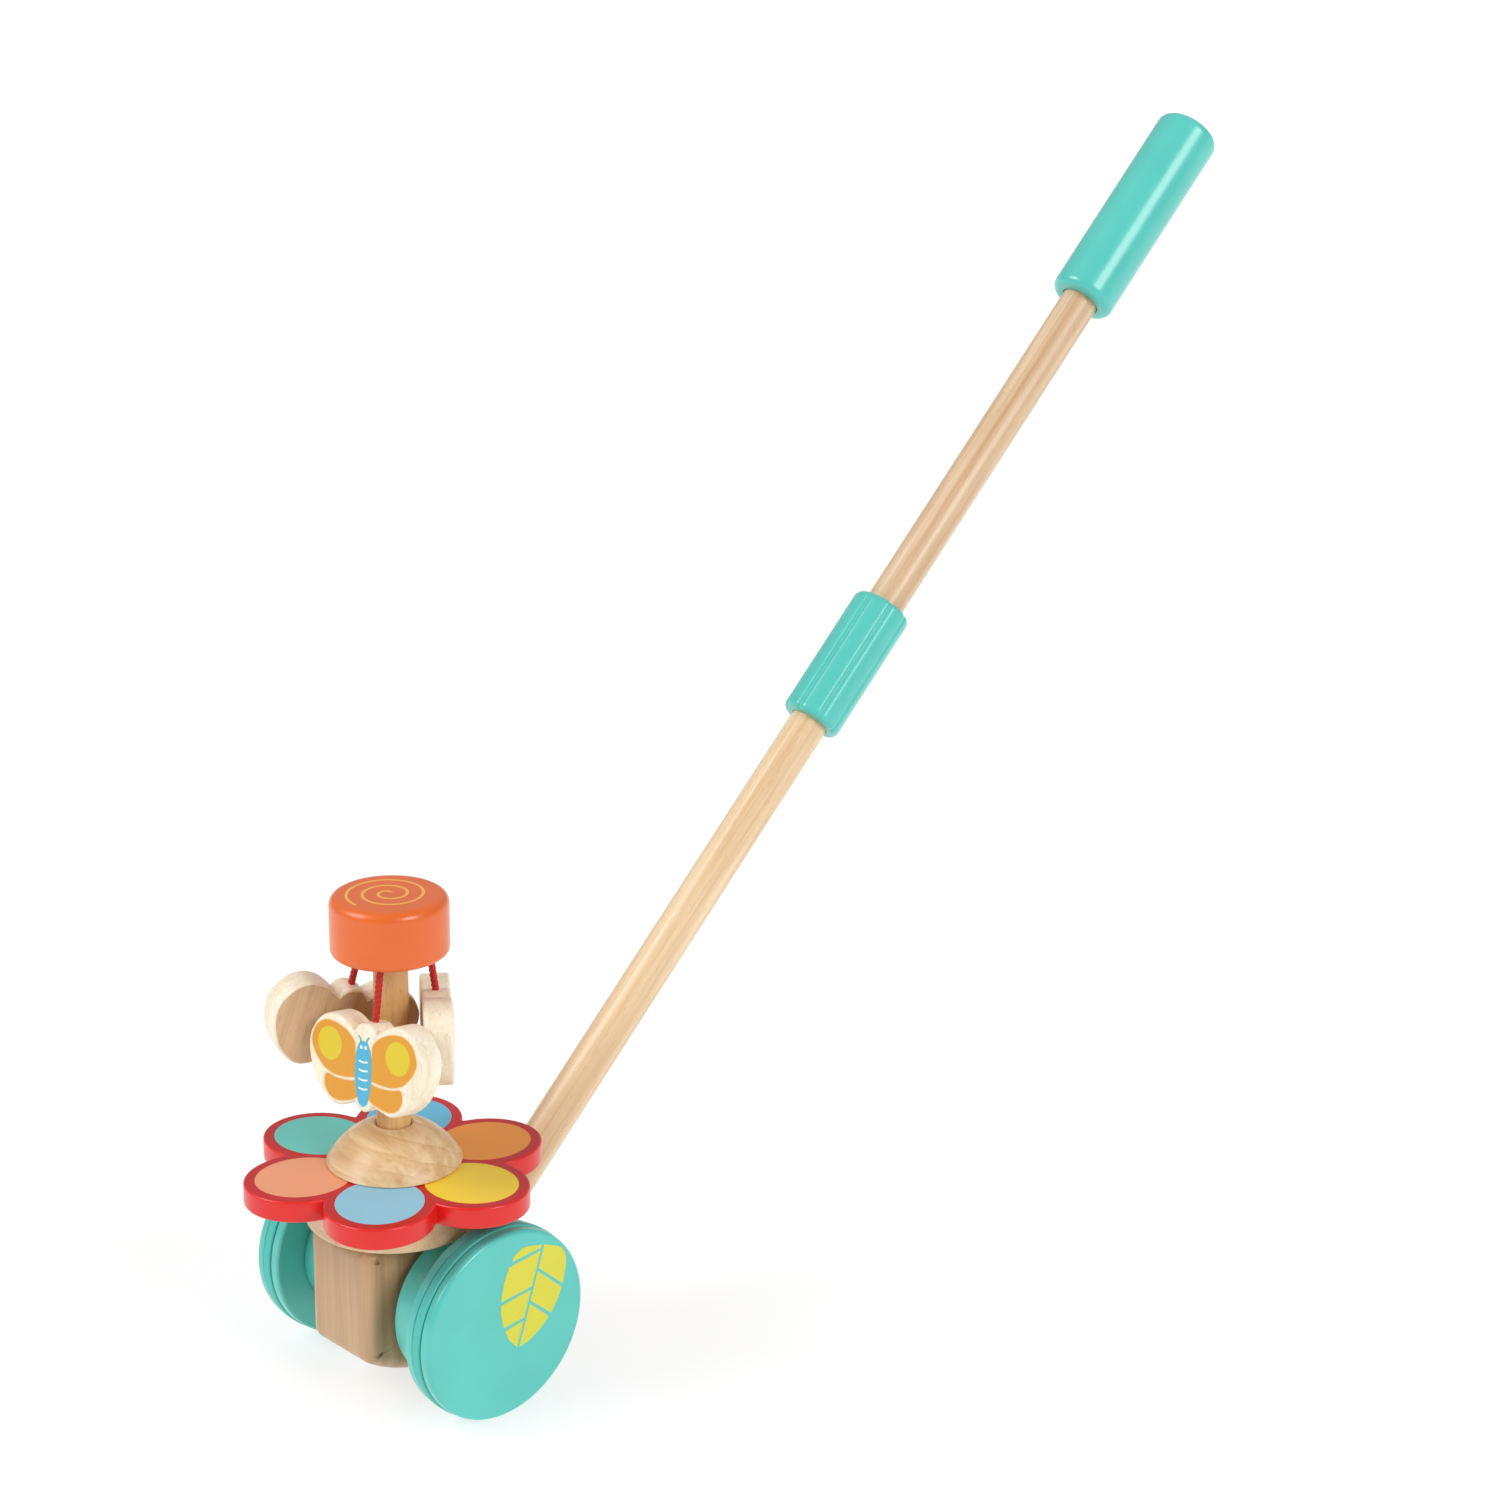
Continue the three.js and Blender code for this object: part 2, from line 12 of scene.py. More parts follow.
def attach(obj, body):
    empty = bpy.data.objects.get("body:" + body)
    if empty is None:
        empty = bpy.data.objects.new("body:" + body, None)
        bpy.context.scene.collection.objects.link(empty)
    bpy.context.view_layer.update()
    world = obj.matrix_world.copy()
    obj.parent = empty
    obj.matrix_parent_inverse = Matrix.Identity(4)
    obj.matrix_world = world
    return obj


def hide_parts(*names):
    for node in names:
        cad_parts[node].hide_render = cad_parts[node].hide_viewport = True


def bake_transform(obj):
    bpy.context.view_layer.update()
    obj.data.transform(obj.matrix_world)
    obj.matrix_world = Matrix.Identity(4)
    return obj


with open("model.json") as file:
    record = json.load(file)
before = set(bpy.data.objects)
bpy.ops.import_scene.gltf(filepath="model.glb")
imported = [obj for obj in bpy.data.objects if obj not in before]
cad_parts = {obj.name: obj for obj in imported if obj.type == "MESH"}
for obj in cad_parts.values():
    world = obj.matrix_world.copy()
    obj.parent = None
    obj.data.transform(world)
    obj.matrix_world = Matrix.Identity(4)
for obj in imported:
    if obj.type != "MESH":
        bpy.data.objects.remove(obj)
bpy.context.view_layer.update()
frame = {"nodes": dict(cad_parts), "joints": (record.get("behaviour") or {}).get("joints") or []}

MM = 0.001
JOINTS = {joint["name"]: joint for joint in frame["joints"]}
AXLE = Vector(JOINTS["wheel_roll"]["pos_m"]) / MM
SPIN = Vector(JOINTS["flower_spin"]["pos_m"]) / MM
STICK_AXIS = Vector(JOINTS["collar_turn"]["axis"]).normalized()
COLLAR_MIDDLE = 263  # along the stick, where the collar's joint is
STICK_FOOT = Vector(JOINTS["collar_turn"]["pos_m"]) / MM - STICK_AXIS * COLLAR_MIDDLE

# ---------- sizes, the same as the solid model's ----------

WHEEL_OUTER_X = 49.7
WHEEL_THICK = 12.7
WHEEL_R = 35.7
FLANGE_R = 35.3
TYRE_WIDTH = 4.6
TYRE_GROOVE_R = 32.6
AXLE_R = 3
HUBS = {"right": ("drive_hub", 28.3, 22), "left": ("spacer_hub", 23.5, 20)}  # name, radius, inner face
SPACER_R = 6.5
RUNNING_GAP = 0.3
TOUCHING_GAP = 0.05
BLOCK_HALF = 17.3
BLOCK_TOP = 63
BLOCK_FRONT = -35.5
BELLY_R, BELLY_LOW_Y, BELLY_LOW_Z, BELLY_END_Y = 66, 2, 8, 17
RECESS_R, RECESS_FOOT, RECESS_TOP = 6, 5, 22
DISC_R, DISC_BOTTOM, DISC_TOP = 32, 64.3, 77.2
FLOWER_BOTTOM = 77.5
FLOWER_TOP = 85.5
FIRST_PETAL = math.radians(13.4)
PETALS = 6
PETAL_CENTRE_R = 34.15
PETAL_LONG, PETAL_WIDE, PETAL_RIM = 21, 19.4, 4
DOME_R, DOME_HEIGHT = 24.1, 15.4
POST_R, POST_BOTTOM, POST_TOP = 6.1, 96, 178
CAP_R = 20.8
CAP_BOTTOM = 164.6
CAP_TOP = 186.1
CORD_R = 1.3
CORD_IN_CAP = 8.5
CORD_IN_WING = 6.5
BUTTERFLY_THICK = 10.5
DOWEL_R = 7.5
LOWER_DOWEL = (-18, 246)
UPPER_DOWEL = (280, 495)
GRIP_R, GRIP_START, GRIP_END = 13, 443.2, 532.7
COLLAR_R, COLLAR_START, COLLAR_END, COLLAR_EDGE = 11.8, 235.5, 290.6, 2.2
COLLAR_GROOVES, FIRST_GROOVE, GROOVE_DEPTH, GROOVE_HALF_WIDTH = 8, math.radians(9.6), 0.6, 0.85
STICK_BORE_R = 7.7
# How each butterfly hangs, in degrees: the way its print faces, and its tilt and roll from upright.
HANGING = {
    "front": {"face": -85.2, "tilt": 9.1, "roll": 6.5},
    "right": {"face": 53.4, "tilt": 0, "roll": -7.2},
    "left": {"face": 164.6, "tilt": 6.6, "roll": 16.1},
}
PRINT_THICK = 0.05  # half a film of ink, and the step from one layer of ink to the next

# ---------- camera ----------

CAMERA_AZIMUTH = 45.84
CAMERA_ELEVATION = 18.49
CAMERA_ROLL = 0.88
CAMERA_DISTANCE = 1101.1
CAMERA_TARGET = Vector((81.4, 83.8 + AXLE.y, 238.0))
CAMERA_LENS = 77.475


def away(azimuth, elevation):
    """The direction from the toy towards a viewer or a light. Azimuth 0 is in front, along -Y."""
    a, e = math.radians(azimuth), math.radians(elevation)
    return Vector((math.sin(a) * math.cos(e), -math.cos(a) * math.cos(e), math.sin(e)))


def make_camera():
    azimuth, roll = math.radians(CAMERA_AZIMUTH), math.radians(CAMERA_ROLL)
    back = away(CAMERA_AZIMUTH, CAMERA_ELEVATION)
    right = Vector((math.cos(azimuth), math.sin(azimuth), 0))
    up = back.cross(right)
    right, up = (
        right * math.cos(roll) + up * math.sin(roll),
        up * math.cos(roll) - right * math.sin(roll),
    )
    camera = bpy.data.objects.new("camera", bpy.data.cameras.new("camera"))
    camera.data.sensor_width = 36
    camera.data.lens = CAMERA_LENS
    camera.data.clip_end = 100
    turn = Matrix((right, up, back)).transposed()
    spot = (CAMERA_TARGET + back * CAMERA_DISTANCE) * MM
    camera.matrix_world = Matrix.Translation(spot) @ turn.to_4x4()
    bpy.context.collection.objects.link(camera)
    bpy.context.scene.camera = camera


make_camera()

# ---------- shader helpers ----------


class Shader:
    """A material's node tree, with one Principled BSDF and short ways to add to it."""

    def __init__(self, name):
        self.material = bpy.data.materials.new(name)
        self.material.use_nodes = True
        self.tree = self.material.node_tree
        self.bsdf = self.tree.nodes["Principled BSDF"]

    def node(self, kind, **settings):
        node = self.tree.nodes.new("ShaderNode" + kind)
        for name, value in settings.items():
            setattr(node, name, value)
        return node

    def feed(self, node, **inputs):
        """Sets or links inputs, each by name with _ for a space, or by number as i0; a socket is linked."""
        for name, value in inputs.items():
            numbered = name[0] == "i" and name[1:].isdigit()
            socket = node.inputs[int(name[1:]) if numbered else name.replace("_", " ")]
            if isinstance(value, bpy.types.NodeSocket):
                self.tree.links.new(value, socket)
            else:
                socket.default_value = value
        return node

    def coords(self, scale=(1, 1, 1), offset=(0, 0, 0)):
        """The object's own coordinates, in metres."""
        place = self.node("TexCoord").outputs["Object"]
        mapping = self.feed(self.node("Mapping"), Vector=place, Scale=scale, Location=offset)
        return mapping.outputs["Vector"]

    def noise(self, vector, scale, detail=3.0, rough=0.5, distortion=0.0):
        node = self.node("TexNoise")
        self.feed(node, Vector=vector, Scale=scale, Detail=detail, Roughness=rough, Distortion=distortion)
        return node.outputs["Fac"]

    def ramp(self, value, *stops):
        node = self.node("ValToRGB")
        elements = node.color_ramp.elements
        while len(elements) < len(stops):
            elements.new(0.5)
        for element, (position, color) in zip(elements, stops):
            element.position = position
            element.color = color if len(color) == 4 else (*color, 1)
        self.feed(node, Fac=value)
        return node.outputs["Color"]

    def mix(self, factor, a, b):
        node = self.node("Mix", data_type="RGBA")
        self.feed(node, i0=factor, i6=a, i7=b)
        return node.outputs[2]

    def times(self, a, b):
        node = self.node("Math", operation="MULTIPLY")
        self.feed(node, i0=a, i1=b)
        return node.outputs[0]

    def bump(self, height, strength, distance_m, normal=None):
        node = self.feed(self.node("Bump"), Height=height, Strength=strength, Distance=distance_m)
        if normal is not None:
            self.feed(node, Normal=normal)
        return node.outputs["Normal"]

    def surface(self, **inputs):
        self.feed(self.bsdf, **inputs)
        return self.material


def rgb(code, gain=1.0):
    """A hex sRGB colour as linear light."""
    parts = [int(code[i : i + 2], 16) / 255 for i in (0, 2, 4)]
    return tuple(gain * (c / 12.92 if c <= 0.04045 else ((c + 0.055) / 1.055) ** 2.4) for c in parts) + (1,)


def grey(value):
    return (value, value, value, 1)


# ---------- materials ----------


def wood(name, light, dark, along=2, seed=0.0, roughness=0.42, coat=0.25, ring=(0, 0),
         band_scale=42.0, wander=7.0, band_depth=0.5, fine_depth=1.0):
    """Lacquered close-grained wood whose grain runs along the object's own axis number `along`: broad
    growth bands, fine streaks and the short dark flecks of beech. ring is where the tree's middle was, and
    the depths are how strongly the bands and the fine grain show."""
    s = Shader(name)
    stretch = [1.0, 1.0, 1.0]
    stretch[along] = 0.035
    fine = s.coords(stretch, (seed, seed * 1.7, seed * 0.6))
    stretch[along] = 0.10
    fleck_space = s.coords(stretch, (seed * 2.1, seed, seed * 1.3))
    stretch[along] = 0.02
    bands_space = s.coords(stretch, (ring[0] * MM, ring[1] * MM, 0))
    bands = s.node("TexWave", wave_type="RINGS", rings_direction="XYZ"[along], wave_profile="SAW")
    s.feed(bands, Vector=bands_space, Scale=band_scale, Distortion=wander, Detail=2.0)
    s.feed(bands, Detail_Scale=wander, Phase_Offset=seed)
    streaks = s.noise(fine, 900.0, 4.0, 0.65)
    broad = s.noise(fine, 190.0, 3.0, 0.55, 0.4)
    color = s.mix(s.ramp(broad, (0.32, grey(0)), (0.72, grey(1))), rgb(dark), rgb(light))
    band_mask = s.ramp(bands.outputs["Fac"], (0.0, grey(0.0)), (0.8, grey(0.35)), (1.0, grey(0.75)))
    color = s.mix(s.times(band_mask, band_depth), color, rgb(dark))
    streak_mask = s.ramp(streaks, (0.42, grey(0.0)), (0.75, grey(0.55 * fine_depth)))
    color = s.mix(streak_mask, color, rgb(light, 1.12))
    flecks = s.noise(fleck_space, 2600.0, 1.0, 0.4)
    fleck_mask = s.ramp(flecks, (0.66, grey(0)), (0.72, grey(0.5 * fine_depth)))
    color = s.mix(fleck_mask, color, rgb(dark, 0.62))
    grain = s.bump(streaks, 0.18, 0.0002)
    pores = s.bump(flecks, 0.12, 0.0001, grain)
    rough = s.ramp(streaks, (0.3, grey(roughness - 0.06)), (0.8, grey(roughness + 0.08)))
    return s.surface(Base_Color=color, Roughness=rough, Normal=pores, Coat_Weight=coat, Coat_Roughness=0.22)


def paint(name, code, roughness, coat):
    """Brushed gloss paint over wood: faint mottling, a little orange peel and a trace of the grain."""
    s = Shader(name)
    mottling = 0.05
    broad = s.noise(s.coords(), 38.0, 3.0)
    through = s.noise(s.coords((1, 1, 0.05)), 700.0, 3.0, 0.6)
    specks = s.noise(s.coords(), 5200.0, 1.0, 0.5)
    patches = s.ramp(broad, (0.3, grey(0)), (0.7, grey(1)))
    color = s.mix(patches, rgb(code, 1 - mottling), rgb(code, 1 + mottling))
    color = s.mix(s.ramp(specks, (0.72, grey(0)), (0.8, grey(0.25))), color, rgb(code, 0.8))
    peel = s.bump(s.noise(s.coords(), 1300.0, 2.0), 0.05, 0.0002)
    rough = s.ramp(broad, (0.25, grey(roughness - 0.04)), (0.75, grey(roughness + 0.06)))
    normal = s.bump(through, 0.05, 0.0002, peel)
    return s.surface(Base_Color=color, Roughness=rough, Normal=normal, Coat_Weight=coat, Coat_Roughness=0.2)


def ink(name, code):
    """Screen-printed colour: nearly flat, with a fine dither and faint patches."""
    s = Shader(name)
    dots = s.noise(s.coords(), 3600.0, 1.0, 0.4)
    broad = s.noise(s.coords(), 90.0, 2.0)
    color = s.mix(s.ramp(dots, (0.35, grey(0)), (0.65, grey(1))), rgb(code, 0.965), rgb(code, 1.03))
    color = s.mix(s.ramp(broad, (0.35, grey(0)), (0.75, grey(0.5))), color, rgb(code, 1.05))
    rough = s.ramp(broad, (0.3, grey(0.34)), (0.7, grey(0.44)))
    normal = s.bump(dots, 0.04, 0.0001)
    return s.surface(Base_Color=color, Roughness=rough, Normal=normal, Coat_Weight=0.1, Coat_Roughness=0.25)


def steel(name, code):
    """Zinc-plated steel with fine scratches along it and soft blotches."""
    s = Shader(name)
    scratches = s.noise(s.coords((1, 1, 14)), 900.0, 3.0, 0.6)
    blotches = s.noise(s.coords(), 220.0, 3.0)
    color = s.mix(s.ramp(blotches, (0.3, grey(0)), (0.7, grey(1))), rgb(code, 0.85), rgb(code))
    rough = s.ramp(scratches, (0.3, grey(0.2)), (0.7, grey(0.4)))
    normal = s.bump(scratches, 0.12, 0.0001)
    return s.surface(Base_Color=color, Metallic=1.0, Roughness=rough, Normal=normal)


def rubber(name, code):
    """Matt moulded rubber with a little dust."""
    s = Shader(name)
    dust = s.noise(s.coords(), 420.0, 4.0, 0.6)
    grain = s.noise(s.coords(), 4200.0, 2.0)
    color = s.mix(s.ramp(dust, (0.45, grey(0)), (0.8, grey(0.5))), rgb(code), rgb(code, 1.15))
    rough = s.ramp(dust, (0.3, grey(0.48)), (0.8, grey(0.62)))
    return s.surface(Base_Color=color, Roughness=rough, Normal=s.bump(grain, 0.1, 0.0001))


def yarn(name, code):
    """Twisted fibres, light and dark along the cord."""
    s = Shader(name)
    fibres = s.noise(s.coords((1, 1, 0.2)), 7000.0, 3.0, 0.7)
    color = s.mix(s.ramp(fibres, (0.3, grey(0)), (0.75, grey(1))), rgb(code, 0.72), rgb(code, 1.2))
    normal = s.bump(fibres, 0.35, 0.0002)
    return s.surface(Base_Color=color, Roughness=0.78, Normal=normal, Sheen_Weight=0.15)


BEECH_LIGHT, BEECH_DARK = "efd6ae", "d9b587"
TURQUOISE = paint("turquoise_paint", "50c3b8", 0.3, 0.4)
TURQUOISE_RUBBER = rubber("turquoise_rubber", "48bcb0")
RED = paint("red_paint", "dd120a", 0.32, 0.2)
ORANGE = paint("orange_paint", "e26416", 0.32, 0.3)
STEEL = steel("zinc_steel", "b9bcc0")
CORD_RED = yarn("red_yarn", "c41c14")

# ---------- mesh helpers ----------


def new_piece(name, bm, material, place=Matrix(), crease=32):
    """Makes an object from a bmesh in millimetres, placed by a matrix whose lengths are millimetres."""
    bmesh.ops.remove_doubles(bm, verts=bm.verts, dist=1e-4)
    bmesh.ops.recalc_face_normals(bm, faces=bm.faces)
    bmesh.ops.scale(bm, vec=(MM, MM, MM), verts=bm.verts)
    mesh = bpy.data.meshes.new(name)
    bm.to_mesh(mesh)
    bm.free()
    mesh.shade_smooth()
    mesh.set_sharp_from_angle(angle=math.radians(crease))
    mesh.materials.append(material)
    piece = bpy.data.objects.new(name, mesh)
    bpy.context.collection.objects.link(piece)
    place = place.copy()
    place.translation *= MM
    piece.matrix_world = place
    return piece


def finish_piece(piece, body, slot, *nodes):
    """Puts a piece on its body, in place of the solid nodes that it stands for. The slot argument is not
    used.
    """
    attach(piece, body)
    if nodes:
        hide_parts(*nodes)
    return piece


def skin(bm, rings, loop=False):
    """Joins rings of equal length by quads, and closes the two ends with a face each unless they loop."""
    made = [[bm.verts.new(p) for p in ring] for ring in rings]
    count = len(made[0])
    pairs = list(zip(made, made[1:])) + ([(made[-1], made[0])] if loop else [])
    for low, high in pairs:
        for i in range(count):
            j = (i + 1) % count
            bm.faces.new((low[i], low[j], high[j], high[i]))
    if not loop:
        bm.faces.new(made[0][::-1])
        bm.faces.new(made[-1])


def rounded(corners, loop=False, step=math.radians(15)):
    """A profile of (r, z, radius) corners with each corner rounded by an arc of its radius, and a point
    held close to each end of every straight stretch, so that smooth shading stays flat between them."""
    count, out = len(corners), []
    for i, (x, y, radius) in enumerate(corners):
        here = Vector((x, y))
        if not radius or (not loop and i in (0, count - 1)):
            out.append(here)
            continue
        before = (Vector(corners[i - 1][:2]) - here).normalized()
        after = (Vector(corners[(i + 1) % count][:2]) - here).normalized()
        half = before.angle(after) / 2
        middle = here + (before + after).normalized() * radius / math.sin(half)
        start = here + before * radius / math.tan(half) - middle
        end = here + after * radius / math.tan(half) - middle
        turn = start.angle_signed(end)
        steps = max(2, math.ceil(abs(turn) / step))
        out += [middle + Matrix.Rotation(-turn * k / steps, 2) @ start for k in range(steps + 1)]
    return held(out, loop)


def held(points, loop, near=0.25):
    """The points, with one more point just inside each end of every long stretch."""
    out = []
    for i, point in enumerate(points):
        out.append(point)
        if i + 1 < len(points) or loop:
            after = points[(i + 1) % len(points)]
            if (after - point).length > 4 * near:
                step = (after - point).normalized() * near
                out += [point + step, after - step]
    return out


def lathe(name, corners, material, place=Matrix(), loop=False, sides=128, crease=32):
    """A turned piece about its own +Z. A profile that isn't a loop starts and ends on the axis."""
    profile = rounded(corners, loop)
    turns = [(math.cos(2 * math.pi * i / sides), math.sin(2 * math.pi * i / sides)) for i in range(sides)]
    bm = bmesh.new()
    rings = [[(p.x * c, p.x * s, p.y) for c, s in turns] for p in profile if loop or p.x > 1e-6]
    skin(bm, rings, loop)
    return new_piece(name, bm, material, place, crease)


def moved_left(outline, distance):
    """The outline moved to the left of the way it runs: inwards if anticlockwise, outwards if clockwise."""
    count, out = len(outline), []
    for i, point in enumerate(outline):
        before = (point - outline[i - 1]).normalized()
        after = (outline[(i + 1) % count] - point).normalized()
        normal = Vector((-before.y - after.y, before.x + after.x)).normalized()
        lean = max(0.5, normal.dot(Vector((-before.y, before.x))))
        out.append(point + normal * distance / lean)
    return out


def slab_rings(outline, low, high, edge, steps=5):
    """Rings up an extruded outline from z low to z high, with round edges and flat-held faces."""

    def ring(inset, z):
        return [(p.x, p.y, z) for p in (moved_left(outline, inset) if inset else outline)]

    arc = [math.pi / 2 * k / steps for k in range(steps + 1)]
    bottom = [ring(edge * (1 - math.sin(a)), low + edge * (1 - math.cos(a))) for a in arc]
    top = [ring(edge * (1 - math.cos(a)), high - edge * (1 - math.sin(a))) for a in arc]
    hold = edge + 0.35
    walls = [ring(0, low + edge + 0.2), ring(0, high - edge - 0.2)]
    return [ring(hold, low), *bottom, *walls, *top, ring(hold, high)]


def slab(name, outline, low, high, edge, material, place=Matrix(), steps=5):
    """A flat piece with round edges, cut to an anticlockwise outline."""
    bm = bmesh.new()
    skin(bm, slab_rings(outline, low, high, edge, steps))
    return new_piece(name, bm, material, place)


def prints(name, outlines, height, material, place):
    """Thin films of ink on a flat face at z = height, one for each outline."""
    bm = bmesh.new()
    for outline in outlines:
        skin(bm, [[(p[0], p[1], height + dz) for p in outline] for dz in (-PRINT_THICK, PRINT_THICK)])
    return new_piece(name, bm, material, place)


def turned_by(point, angle):
    c, s = math.cos(angle), math.sin(angle)
    return Vector((point.x * c - point.y * s, point.x * s + point.y * c))


def ellipse(cx, cy, a, b, turn=0.0, count=48):
    angles = [2 * math.pi * k / count for k in range(count)]
    return [Vector((cx, cy)) + turned_by(Vector((a * math.cos(t), b * math.sin(t))), turn) for t in angles]


def smooth_through(points, per=6, loop=True):
    """A Catmull-Rom curve through 2D points."""
    count, out = len(points), []
    for i in range(count if loop else count - 1):
        p = [
            Vector(points[k % count] if loop else points[min(max(k, 0), count - 1)])
            for k in (i - 1, i, i + 1, i + 2)
        ]
        slope = p[2] - p[0]
        bend = 2 * p[0] - 5 * p[1] + 4 * p[2] - p[3]
        twist = 3 * p[1] - p[0] - 3 * p[2] + p[3]
        for t in (k / per for k in range(per)):
            out.append(0.5 * (2 * p[1] + slope * t + bend * t * t + twist * t**3))
    if not loop:
        out.append(Vector(points[-1]))
    return out


def ribbon(line, width):
    """The outline of a line drawn with a round-ended pen."""
    left, right, half = [], [], width / 2
    for i, point in enumerate(line):
        along = (line[min(i + 1, len(line) - 1)] - line[max(i - 1, 0)]).normalized()
        side = Vector((-along.y, along.x)) * half
        left.append(point + side)
        right.append(point - side)
    first, last = (line[0] - line[1]).normalized() * half, (line[-1] - line[-2]).normalized() * half

    def nib(end, forward):
        start = Vector((forward.y, -forward.x))
        return [end + Matrix.Rotation(-math.pi * k / 6, 2) @ start for k in range(1, 6)]

    return right + nib(line[-1], last) + left[::-1] + nib(line[0], first)


def basis(x, y, z, origin):
    """The placing matrix whose axes and origin these are."""
    place = Matrix((x, y, z)).transposed().to_4x4()
    place.translation = origin
    return place


X, Y, Z = Vector((1, 0, 0)), Vector((0, 1, 0)), Vector((0, 0, 1))
SPINNER = Matrix.Translation(Vector((0, SPIN.y, 0)))
STICK = basis(X, STICK_AXIS.cross(X), STICK_AXIS, STICK_FOOT)
WHEEL_SIDES = {"right": basis(Y, Z, X, AXLE), "left": basis(-Y, Z, -X, AXLE)}

# ---------- cords ----------


def cord_frame(side):
    """A cord's top and bottom in millimetres, and its direction down."""
    top = Vector(JOINTS[f"{side}_swing"]["pos_m"]) / MM
    bottom = Vector(JOINTS[f"{side}_twist"]["pos_m"]) / MM
    return top, bottom, (bottom - top).normalized()


def butterfly_frame(side):
    """The butterfly's own axes: +X out of its printed face, +Z up through its head."""
    face, tilt, roll = (math.radians(HANGING[side][key]) for key in ("face", "tilt", "roll"))
    place = Matrix.Rotation(face, 4, "Z") @ Matrix.Rotation(-tilt, 4, "Y") @ Matrix.Rotation(roll, 4, "X")
    place.translation = cord_frame(side)[1]
    return place


def cord_route(side):
    """Points down the cord: straight up out of its hole, a soft bend at the mouth, then down to the
    butterfly and into its head."""
    top, bottom, down = cord_frame(side)
    into = butterfly_frame(side).to_3x3() @ -Z
    start, end = top + Z * CORD_IN_CAP, bottom + into * CORD_IN_WING
    mouth, head = top + Z * 1.2, bottom + into * 0.6
    leaving = top + down * 1.5 - Z * 0.5
    arriving = bottom.lerp(top, 0.056)
    points = [start.lerp(mouth, k / 5) for k in range(5)]
    for t in (k / 24 for k in range(24)):
        near_mouth = mouth * (1 - t) ** 3 + leaving * 3 * t * (1 - t) ** 2
        points.append(near_mouth + arriving * 3 * t * t * (1 - t) + head * t**3)
    points += [head.lerp(end, k / 5) for k in range(6)]
    return points


def make_cord(side):
    """A three-strand twisted cord swept along its route."""
    route = cord_route(side)
    strands, around, lay, spacing = 3, 24, 6.0, 0.3
    line = [route[0]]
    for a, b in zip(route, route[1:]):
        steps = max(1, round((b - a).length / spacing))
        line += [a.lerp(b, (k + 1) / steps) for k in range(steps)]
    bm, rings, travelled = bmesh.new(), [], 0.0
    for i, point in enumerate(line):
        travelled += (point - line[i - 1]).length if i else 0
        along = (line[min(i + 1, len(line) - 1)] - line[max(i - 1, 0)]).normalized()
        side_way = along.cross(Y).normalized()
        other = along.cross(side_way)
        ring = []
        for k in range(around):
            angle = 2 * math.pi * k / around
            lobe = abs(math.cos(strands / 2 * (angle - 2 * math.pi * travelled / lay)))
            radius = CORD_R * (0.76 + 0.26 * lobe)
            ring.append(point + (side_way * math.cos(angle) + other * math.sin(angle)) * radius)
        rings.append(ring)
    skin(bm, rings)
    piece = new_piece(f"{side}_twisted_cord", bm, CORD_RED, crease=70)
    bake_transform(piece)
    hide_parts(*[f"{side}_{part}" for part in ("cord", "cord_top", "cord_end")])


for hung_side in HANGING:
    make_cord(hung_side)

# ---------- floor and light ----------

FLOOR_HALF = 30000
FLOOR_GLOW = 0.66
SURROUNDINGS = 0.44
# Each light's azimuth from the camera's, its elevation, its strength and its width in degrees.
LIGHTS = {
    "key_light": (-72, 42, 1.5, 32),
    "fill_light": (50, 32, 1.25, 26),
    "top_light": (170, 72, 0.2, 90),
}


def make_studio():
    """A pale floor, white surroundings and three soft lights."""
    s = Shader("pale_floor")
    tint = s.noise(s.coords(), 3.0, 2.0)
    color = s.mix(s.ramp(tint, (0.3, grey(0)), (0.7, grey(1))), grey(0.38), grey(0.4))
    s.surface(Base_Color=color, Roughness=0.8, Emission_Color=grey(1), Emission_Strength=FLOOR_GLOW)
    bm = bmesh.new()
    bmesh.ops.create_grid(bm, x_segments=1, y_segments=1, size=FLOOR_HALF)
    new_piece("studio_floor", bm, s.material)
    world = bpy.data.worlds.new("studio")
    world.use_nodes = True
    background = world.node_tree.nodes["Background"]
    background.inputs["Color"].default_value = grey(1)
    background.inputs["Strength"].default_value = SURROUNDINGS
    bpy.context.scene.world = world
    for name, (azimuth, elevation, strength, width) in LIGHTS.items():
        soft_light(name, CAMERA_AZIMUTH + azimuth, elevation, strength, width)
    bpy.context.scene.view_settings.view_transform = "Standard"


def soft_light(name, azimuth, elevation, strength, width):
    """A large soft light far away, as wide as an angle in degrees."""
    light = bpy.data.objects.new(name, bpy.data.lights.new(name, "SUN"))
    light.data.angle = math.radians(width)
    light.data.energy = strength
    light.rotation_mode = "QUATERNION"
    light.rotation_quaternion = away(azimuth, elevation).to_track_quat("Z", "Y")
    bpy.context.collection.objects.link(light)


make_studio()

# ---------- wheels ----------


